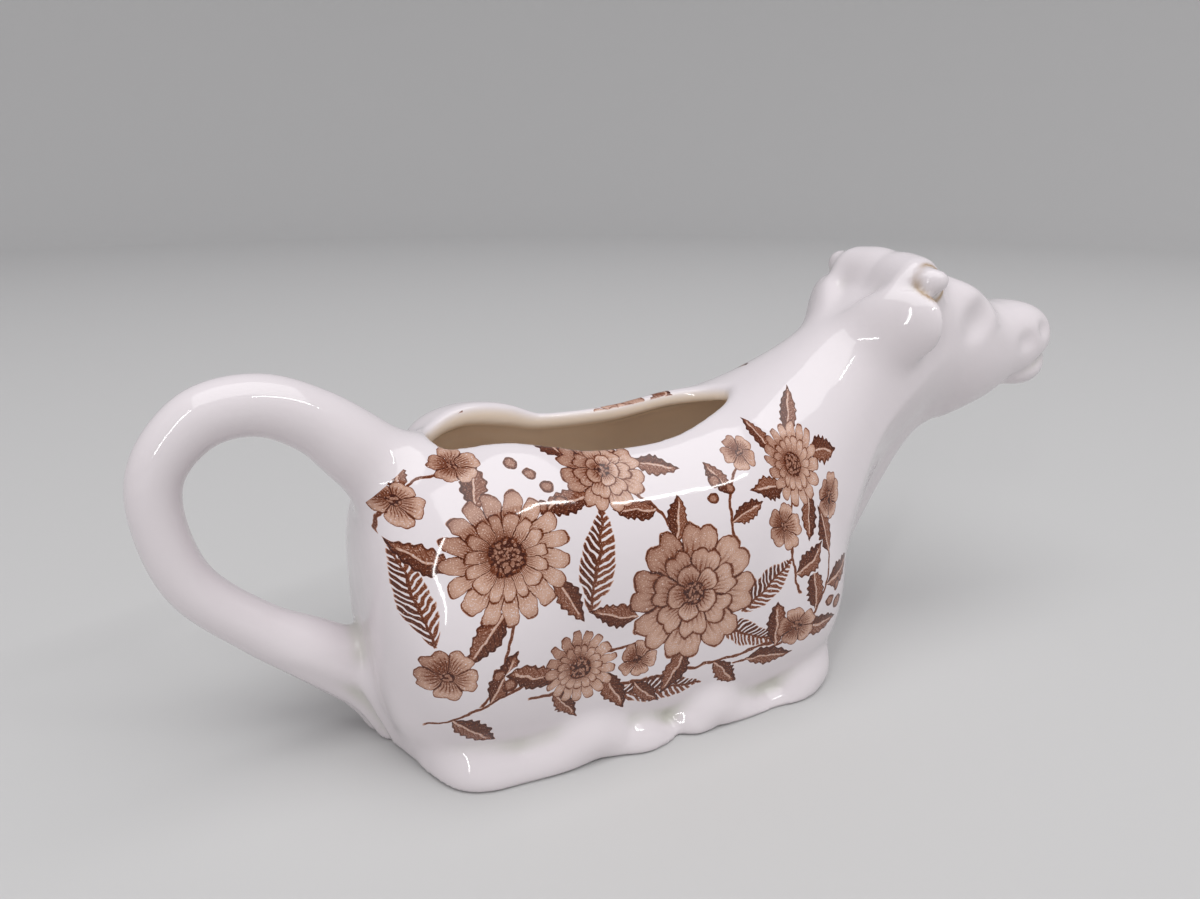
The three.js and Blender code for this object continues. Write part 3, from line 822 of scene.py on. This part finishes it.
def close_piece(mesh, is_head):
    """Closes the open edges of a piece by the faces that were luted to its neighbours."""
    work = bmesh.new()
    work.from_mesh(mesh)
    open_edges = [edge for edge in work.edges if edge.is_boundary]
    rings = []
    left_over = set(open_edges)
    while left_over:
        ring, front = [], [left_over.pop()]
        while front:
            edge = front.pop()
            ring.append(edge)
            for vert in edge.verts:
                for other in vert.link_edges:
                    if other in left_over:
                        left_over.remove(other)
                        front.append(other)
        rings.append(ring)
    at_collar = [ring for ring in rings if abs(collar_height(ring)) < COLLAR_REACH]
    if len(at_collar) == 2:
        across = bmesh.ops.bridge_loops(work, edges=[edge for ring in at_collar for edge in ring])["faces"]
        for face in across:
            face.normal_update()
            if (face.normal @ Vector(COLLAR_AXIS) > 0) == is_head:
                face.normal_flip()
        rings = [ring for ring in rings if ring not in at_collar]
    for ring in rings:
        verts = list(dict.fromkeys(vert for edge in ring for vert in edge.verts))
        at = np.array([vert.co for vert in verts]) / MM
        rows = [verts]
        for share in (0, 0.3, 0.65):
            inner = sink(at * (1 - share) + at.mean(0) * share) * MM
            rows.append([work.verts.new(place) for place in inner])
        middle = work.verts.new(sink(at.mean(0)[None])[0] * MM)
        number = {vert: index for index, vert in enumerate(verts)}
        for edge in ring:
            loop = edge.link_loops[0]
            b, a = number[loop.vert], number[loop.link_loop_next.vert]
            for outer, inner in zip(rows, rows[1:]):
                work.faces.new((outer[a], outer[b], inner[b], inner[a]))
            work.faces.new((rows[-1][a], rows[-1][b], middle))
    work.to_mesh(mesh)
    work.free()
    return len(rings)


print("pieces to cut:", len(set(PIECES.values())))

# %% Meshes
pieces = {}
for node in dict.fromkeys(PIECES.values()):
    mine = quads[np.isin(label, [number for number, name in PIECES.items() if name == node])]
    used, renumbered = np.unique(mine, return_inverse=True)
    mesh = bpy.data.meshes.new("glazed_" + node)
    mesh.from_pydata((places[used] * MM).tolist(), [], renumbered.reshape(-1, 4).tolist())
    rings = close_piece(mesh, node == "head_shell")
    mesh.polygons.foreach_set("use_smooth", [True] * len(mesh.polygons))
    hidden = len(mesh.vertices) - len(used)
    own = np.vstack([normals[used], np.tile((0, 0, 1.0), (hidden, 1))])
    mesh.normals_split_custom_set_from_vertices(own.tolist())
    for name, values in (("sheet", sheet), ("tint", tint)):
        layer = mesh.attributes.new(name, "FLOAT_VECTOR", "POINT")
        layer.data.foreach_set("vector", np.pad(values[used], ((0, hidden), (0, 0))).ravel())
    piece = bpy.data.objects.new("glazed_" + node, mesh)
    bpy.context.scene.collection.objects.link(piece)
    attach(piece, "root")
    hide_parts(node)
    "printed_glaze" if node == "body_shell" else "white_glaze"
    pieces[node] = piece
    print(node, len(mesh.polygons), "faces,", rings, "hidden joints")

# %% [markdown]
# ## Drawing with nodes
#
# The print and the glaze are drawn by the material itself, so lines stay sharp at any distance. A small
# class wraps a socket, and adding or multiplying two of them adds the Math node, so the shader reads like
# plain arithmetic. Its one method makes any other node: the settings come first, then the sockets.

# %% Wires
class Wire:
    """A socket of a material that can be reckoned with."""

    def __init__(self, tree, socket=None):
        self.tree, self.socket = tree, socket

    def node(self, kind, settings=None, inputs=None, output=0):
        node = self.tree.nodes.new(kind)
        for name, value in (settings or {}).items():
            if name == "stops":
                ramp = node.color_ramp.elements
                while len(ramp) < len(value):
                    ramp.new(1)
                for stop, (position, colour) in zip(ramp, value):
                    stop.position, stop.color = position, (*colour, 1)
            else:
                setattr(node, name, value)
        for name, value in (inputs or {}).items():
            if isinstance(value, Wire):
                self.tree.links.new(value.socket, node.inputs[name])
            else:
                node.inputs[name].default_value = value
        return Wire(self.tree, node.outputs[output])

    def math(self, operation, *others):
        return self.node("ShaderNodeMath", {"operation": operation}, dict(enumerate((self, *others))))

    def __add__(self, other):
        return self.math("ADD", other)

    def __mul__(self, other):
        return self.math("MULTIPLY", other)

    def __sub__(self, other):
        return self.math("SUBTRACT", other)

    def __rsub__(self, other):
        return self.node("ShaderNodeMath", {"operation": "SUBTRACT"}, {0: other, 1: self})

    def __pow__(self, other):
        return self.math("POWER", other)

    def __lt__(self, other):
        return self.math("LESS_THAN", other)

    def __abs__(self):
        return self.math("ABSOLUTE")

    __radd__, __rmul__ = __add__, __mul__


def rise(value, low, high):
    """Zero at low and one at high, with soft ends. It falls where low is the larger."""
    limits = {"Value": value, "From Min": low, "From Max": high}
    return value.node("ShaderNodeMapRange", {"interpolation_type": "SMOOTHSTEP"}, limits)


def blend(a, b, share):
    """One colour going over into another."""
    wire = next(value for value in (share, a, b) if isinstance(value, Wire))
    a, b = (value if isinstance(value, Wire) else (*value, 1) for value in (a, b))
    return wire.node("ShaderNodeMix", {"data_type": "RGBA"}, {0: share, 6: a, 7: b}, 2)


def split(place):
    """The two coordinates of a place on the sheet."""
    return [place.node("ShaderNodeSeparateXYZ", {}, {0: place}, axis) for axis in (0, 1)]


# %% [markdown]
# ## Motifs of the print
#
# A transfer print is a spray of garden flowers engraved in one brown ink: pale washes, fine hatching and a
# dark outline. Each kind of motif is drawn once, in a round spot that reaches from -1 to 1, and the sheet
# has a list of spots. For each point, the material picks the spot that holds it and draws the motif there.

# %% Spots
def vector_math(operation, a, b=None, output=0):
    inputs = {0: a} if b is None else {0: a, 1: b}
    return a.node("ShaderNodeVectorMath", {"operation": operation}, inputs, output)


def spot_place(sheet, x, y, turn, length, width):
    """Both coordinates in a spot, each by one dot product that turns, shifts and scales."""
    c, s = 2 * cos(radians(turn)), 2 * sin(radians(turn))
    along = (c / length, s / length, -(c * x + s * y) / length)
    across = (-s / width, c / width, (s * x - c * y) / width)
    return [vector_math("DOT_PRODUCT", sheet, row, "Value") for row in (along, across)]


def in_spots(sheet, spots, pointed=False):
    """Place within the spot that holds a point. A spot is x, y, turn in degrees, length and width."""
    picked = None
    for spot in spots:
        x, y = spot_place(sheet, *spot)
        place = x.node("ShaderNodeCombineXYZ", {}, {0: x, 1: y})
        if picked:
            held = (x * x + abs(y) if pointed else vector_math("LENGTH", place, output="Value")) < 1
            place = place.node("ShaderNodeMix", {"data_type": "VECTOR"}, {0: held, 4: picked, 5: place}, 1)
        picked = place
    return picked


def polar(place):
    """Distance from the middle of a spot, and the angle round it."""
    x, y = split(place)
    return vector_math("LENGTH", place, output="Value"), y.math("ARCTAN2", x)


# %% Leaves, fern and berries
def leaf(place):
    """Where a leaf is and how dark: a toothed edge, a pale rib, veins, and one half in shade."""
    x, y = split(place)
    across = abs(y)
    half = (1 - x * x).math("MAXIMUM", 0) * (0.8 - 0.28 * x + 0.08 * (x * 22).math("SINE"))
    edge = half - across - 0.02
    vein = rise((x * 5 - across * 3).math("FRACT"), 0.3, 0.1)
    tone = 0.52 + 0.3 * rise(y, -0.1, 0.1) + 0.2 * vein + 0.5 * rise(edge, 0.2, 0.04)
    tone = tone * (1 - 0.7 * rise(across, 0.1, 0.04) * rise(x, 0.8, 0.5))
    return rise(edge, 0.0, 0.06), tone


def fern(place):
    """A frond: a rib with rows of small narrow leaves that grow shorter to the tip."""
    x, y = split(place)
    across = abs(y)
    row = abs((x * 7 - across * 2.4).math("FRACT") - 0.5)
    reach = (1 - x * x).math("MAXIMUM", 0) * (0.8 - 0.2 * x)
    blade = rise(row, 0.38, 0.26) * rise(across - reach, 0.06, -0.06)
    shape = blade.math("MAXIMUM", rise(across, 0.09, 0.05)) * rise(abs(x), 1.0, 0.96)
    return shape, 0.62 + 0.3 * rise(y, -0.2, 0.2)


def berry(place):
    radius, _ = polar(place)
    return rise(radius, 0.98, 0.86), 0.45 + 0.5 * rise(radius, 0.45, 0.85)


# %% Flowers
def whorl(radius, angle, count, reach, turn=0.0, notch=0.0):
    """One ring of petals, where it is and how dark, hatched towards its middle."""
    petal = ((angle + turn) * (count / (2 * pi))).math("FRACT")
    off = abs(petal * 2 - 1)
    edge = reach * (1 - 0.26 * off**3.5 - notch * (1 - off) ** 3) - radius
    outline = rise(edge, 0.055, 0.02).math("MAXIMUM", rise(off, 0.9, 0.97))
    base = rise(radius, reach * 0.85, reach * 0.3)
    hatch = rise((angle * (count * 6)).math("SINE"), 0.1, 0.7) * base
    shade = rise((angle - 2.2).math("COSINE"), 0.0, 1.0) + 0.9 * rise(edge, 0.2 * reach, 0.0)
    return rise(edge, 0.0, 0.03), 0.2 + 0.16 * shade + 0.22 * base + 0.36 * hatch + 0.55 * outline


def dotted(sheet, radius, reach):
    """The middle of a flower: a disc of small dark dots."""
    dots = sheet.node("ShaderNodeTexVoronoi", {"voronoi_dimensions": "2D"}, {"Vector": sheet, "Scale": 1.7})
    tone = 0.45 + 0.55 * rise(dots, 0.34, 0.5) + 0.4 * rise(radius, reach * 0.7, reach)
    return rise(radius, reach, reach * 0.86), tone


# %% [markdown]
# ## The sheet
#
# Stems bow across the flank, and leaves stand along each of them, left and right in turn. The flowers sit
# at their ends: one double blossom low on the shoulder side, daisies behind it, and small five-petalled
# flowers towards the rim and the neck. The large ones also have a wreath of leaves.

# %% Stems and spots
STEMS = [
    # start, end, bow, number of leaves, length of a leaf
    ((-38, -12), (2, -5), 4.0, 7, 9.0),
    ((-31, -8), (-27, 12), -3.0, 3, 8.5),
    ((12, -12), (34, 5), -5.0, 6, 8.5),
    ((3, 8), (-7, 23), -3.0, 3, 8.0),
    ((13, 10), (19, 23), 2.0, 3, 7.5),
    ((25, -2), (31, 18), 3.0, 4, 8.5),
    ((-41, 16), (-29, 27), 3.0, 3, 7.5),
    ((-24, -9), (20, -10), -1.0, 6, 7.5),
]
DOUBLE_FLOWERS = [(5, 3, 10, 25, 25), (-7, 25, 40, 16, 16)]
DAISIES = [(-25, 13, 0, 20, 20), (31, 19, 20, 15, 15), (-15, -6, 0, 13, 13)]
SMALL_FLOWERS = [
    (19, 24, 0, 8, 8), (24, 10, 30, 8.5, 8.5), (-38, 22, 20, 8, 8), (-29, 28, 50, 7.5, 7.5),
    (37, 9, 10, 7.5, 7.5), (24, -8, 60, 8, 8), (-35, -2, 15, 9, 9), (-5, -6.5, 30, 7, 7),
]
FERNS = [
    (-11, 11, 75, 17, 7), (19, 1, 35, 13, 6), (-1, -13, -8, 16, 6.5), (-38, 9, 105, 14, 6),
    (15, -7, -30, 12, 5.5),
]
BERRIES = [
    (-17, 22.4), (-15.4, 19.8), (-18.4, 19.4), (12, 20), (14.4, 18.4), (10.8, 17.4), (31, -6), (33.4, -4.6),
    (32.8, -7.8), (-21.4, 26.6), (-19, 24.8), (-28, -3), (-26.4, -5.2),
]

LEAF_ROOM = 4.2
leaves = []


def add_leaf(x, y, turn, length):
    """One more leaf, unless it would lie on another leaf or mostly under a flower."""
    clear = all(hypot(x - a, y - b) > LEAF_ROOM for a, b, *_ in leaves)
    flowers = DOUBLE_FLOWERS + DAISIES + SMALL_FLOWERS
    if clear and all(hypot(x - a, y - b) > size / 2 for a, b, _, size, _ in flowers):
        leaves.append((x, y, turn, length, length * 0.55))


for (x0, y0), (x1, y1), bow, count, length in STEMS:
    heading = atan2(y1 - y0, x1 - x0)
    for k in range(count):
        t = (k + 0.6) / (count + 0.2)
        lift = 4 * bow * t * (1 - t)
        turn = heading + (0.85 if k % 2 else -0.85)
        x = x0 + (x1 - x0) * t - lift * sin(heading) + 0.5 * length * cos(turn)
        y = y0 + (y1 - y0) * t + lift * cos(heading) + 0.5 * length * sin(turn)
        add_leaf(x, y, turn * 180 / pi, length)
for x, y, turn, size, _ in DOUBLE_FLOWERS + DAISIES:
    for k in range(5):
        out = radians(turn + 72 * k + 30)
        reach = size / 2 + 1.6
        add_leaf(x + reach * cos(out), y + reach * sin(out), turn + 72 * k + 12, 9.0)
print("leaves:", len(leaves))


def stems(sheet):
    """All the stems, each a flat arch over the line from its start to its end."""
    drawn = 0
    for (x0, y0), (x1, y1), bow, _, _ in STEMS:
        heading, length = atan2(y1 - y0, x1 - x0), hypot(x1 - x0, y1 - y0)
        x, y = spot_place(sheet, (x0 + x1) / 2, (y0 + y1) / 2, heading * 180 / pi, length, 2)
        line = rise(abs(y - bow * (1 - x * x)), 0.34, 0.16) * rise(abs(x), 1.0, 0.97)
        drawn = line.math("MAXIMUM", drawn)
    return drawn, 0.75


# %% [markdown]
# The motifs are laid over each other from the back to the front. Before that, the sheet is shaken by a
# little noise, since a hand cut the lines and a wet paper carried them, and at the end the ink is broken up
# by fine grain, as it is where the paper didn't quite touch. Along the middle line, where the sheets of both
# sides meet, there is no ink.

# %% Ink
def ink_on(sheet):
    """How much ink lies on each point of the sheet, from none to a full dark line."""
    shake = sheet.node("ShaderNodeTexNoise", {}, {"Vector": sheet, "Scale": 0.35, "Detail": 2.0}, "Color")
    shake = vector_math("MULTIPLY", vector_math("SUBTRACT", shake, (0.5, 0.5, 0.5)), (1.6, 1.6, 0))
    sheet = vector_math("ADD", sheet, shake)
    layers = [stems(sheet), fern(in_spots(sheet, FERNS)), leaf(in_spots(sheet, leaves, pointed=True))]
    layers.append(berry(in_spots(sheet, [(x, y, 0, 2.2, 2.2) for x, y in BERRIES])))
    radius, angle = polar(in_spots(sheet, SMALL_FLOWERS))
    layers += [whorl(radius, angle, 5, 0.97, notch=0.1), dotted(sheet, radius, 0.24)]
    radius, angle = polar(in_spots(sheet, DAISIES))
    layers += [whorl(radius, angle, 17, 0.97), whorl(radius, angle, 15, 0.64, 0.2)]
    layers.append(dotted(sheet, radius, 0.3))
    radius, angle = polar(in_spots(sheet, DOUBLE_FLOWERS))
    layers += [whorl(radius, angle, 8, 0.97, notch=0.12), whorl(radius, angle, 7, 0.66, 0.4, notch=0.1)]
    layers += [whorl(radius, angle, 5, 0.4, 0.2), dotted(sheet, radius, 0.17)]
    ink = 0
    for mask, tone in layers:
        ink = mask * tone + (1 - mask) * ink
    grain = sheet.node("ShaderNodeTexNoise", {}, {"Vector": sheet, "Scale": 5.0, "Detail": 3.0})
    return ink * rise(grain, 0.2, 0.5)


# %% [markdown]
# ## Glaze
#
# The glaze is clear and wet-looking over a white body with a breath of pink. In hollows it gathers to a
# grey-green, drawn darker so that it is also painted shade in the creases. Inside it is cream, drawn lighter
# than the white so that it also paints light into the shaded inside, and an old brown line has crept in
# round the root of the right horn. Tiny dips in the surface keep the reflections alive.

# %% Glaze
WHITE = (0.74, 0.685, 0.705)
# painted light: the cream of the inside is lighter than the white outside, to light the shaded inside of the
# jug
CREAM_AND_PAINTED_LIGHT = (0.92, 0.78, 0.64)
# painted shade: the grey-green of glaze gathered in hollows, darkened further to stand for the shade in
# creases
GATHERED_GLAZE_AND_SHADE = (0.50, 0.50, 0.42)
BARE_LINE = 0.0007
STAIN = (0.34, 0.20, 0.06)
INK = [(0.0, WHITE), (0.22, (0.56, 0.34, 0.25)), (0.55, (0.17, 0.040, 0.011)), (1.0, (0.045, 0.006, 0.001))]


def glaze(name, printed):
    material = bpy.data.materials.new(name)
    material.use_nodes = True
    surface = material.node_tree.nodes["Principled BSDF"]
    surface.inputs["Roughness"].default_value = 0.07
    surface.inputs["IOR"].default_value = 1.5
    tree = Wire(material.node_tree)
    tint = tree.node("ShaderNodeAttribute", {"attribute_name": "tint"}, {}, "Vector")
    inside, gathered_and_shaded = split(tint)
    stain = tint.node("ShaderNodeSeparateXYZ", {}, {0: tint}, 2)
    place = tree.node("ShaderNodeTexCoord", {}, {}, "Object")
    cloud = place.node("ShaderNodeTexNoise", {}, {"Vector": place, "Scale": 90.0, "Detail": 3.0})
    # painted shade in hollows and creases, mixed with the grey-green of gathered glaze
    colour = blend(WHITE, GATHERED_GLAZE_AND_SHADE, rise(gathered_and_shaded, 0.05, 0.5) * 0.75)
    # painted light inside the jug, over its cream colour
    colour = blend(colour, CREAM_AND_PAINTED_LIGHT, inside)
    colour = blend(colour, STAIN, stain * rise(cloud, 0.2, 0.5) * 0.9)
    if printed:
        sheet = tree.node("ShaderNodeAttribute", {"attribute_name": "sheet"}, {}, "Vector")
        middle_line = rise(abs(split(place)[1]), 2 * BARE_LINE, BARE_LINE)
        ink = ink_on(sheet) * (1 - rise(inside, 0.1, 0.4)) * (1 - middle_line)
        brown = ink.node("ShaderNodeValToRGB", {"stops": INK}, {"Fac": ink})
        colour = blend(colour, brown, rise(ink, 0.0, 0.2))
    dips = place.node("ShaderNodeTexNoise", {}, {"Vector": place, "Scale": 260.0, "Detail": 2.0})
    bump = dips.node("ShaderNodeBump", {}, {"Strength": 0.05, "Distance": 0.0006, "Height": dips})
    for socket, wire in (("Base Color", colour), ("Normal", bump)):
        material.node_tree.links.new(wire.socket, surface.inputs[socket])
    print(name, len(material.node_tree.nodes), "nodes")
    return material


printed_glaze = glaze("printed_glaze", True)
white_glaze = glaze("white_glaze", False)
for node, piece in pieces.items():
    piece.data.materials.append(printed_glaze if node == "body_shell" else white_glaze)

# %% [markdown]
# ## Floor and light
#
# The jug stands on pale paper that bends up into a low wall all round, so there is no horizon from any side.
# A large soft box hangs above, and two narrow ones draw the thin bright lines that tell the eye the glaze is
# wet.

# %% Floor
FLAT = 1.0
BEND = 0.5
WALL_HEIGHT = 0.9
SIDES = 64
profile = [(FLAT + BEND * sin(t), BEND * (1 - cos(t))) for t in np.linspace(0, pi / 2, 13)]
profile += [(FLAT + BEND, WALL_HEIGHT)]
turns = [2 * pi * k / SIDES for k in range(SIDES)]
paper_points = [(r * cos(t), r * sin(t), z) for r, z in profile for t in turns]
strips = [list(range(SIDES))]
for row in range(len(profile) - 1):
    for k in range(SIDES):
        a, b = row * SIDES + k, row * SIDES + (k + 1) % SIDES
        strips.append([a, a + SIDES, b + SIDES, b])
paper = bpy.data.meshes.new("paper")
paper.from_pydata(paper_points, [], strips)
paper.polygons.foreach_set("use_smooth", [False] + [True] * (len(strips) - 1))
floor = bpy.data.objects.new("paper", paper)
bpy.context.scene.collection.objects.link(floor)
pale = bpy.data.materials.new("pale_paper")
pale.use_nodes = True
pale.node_tree.nodes["Principled BSDF"].inputs["Base Color"].default_value = (0.56, 0.555, 0.55, 1)
pale.node_tree.nodes["Principled BSDF"].inputs["Roughness"].default_value = 0.9
paper.materials.append(pale)
print("paper:", 2 * (FLAT + BEND), "m across")


# %% Light
def soft_box(name, place, target, size, power):
    light = bpy.data.lights.new(name, "AREA")
    light.shape = "RECTANGLE"
    light.size, light.size_y = size
    light.energy = power
    lamp = bpy.data.objects.new(name, light)
    lamp.location = place
    lamp.rotation_euler = (Vector(target) - Vector(place)).to_track_quat("-Z", "Y").to_euler()
    bpy.context.scene.collection.objects.link(lamp)
    print(name, power, "W")


soft_box("above", (0.0, -0.3, 1.4), (0, 0, 0.03), (1.8, 1.4), 17.0)
soft_box("left_strip", (-0.55, -0.5, 0.35), (0, 0, 0.04), (0.02, 0.5), 1.0)
soft_box("high_strip", (0.25, -0.6, 0.7), (0, 0, 0.04), (0.5, 0.02), 1.2)
world = bpy.data.worlds.new("world")
bpy.context.scene.world = world
world.use_nodes = True
world.node_tree.nodes["Background"].inputs["Color"].default_value = (0.92, 0.92, 1.0, 1)
world.node_tree.nodes["Background"].inputs["Strength"].default_value = 0.3
bpy.context.scene.view_settings.view_transform = "Standard"
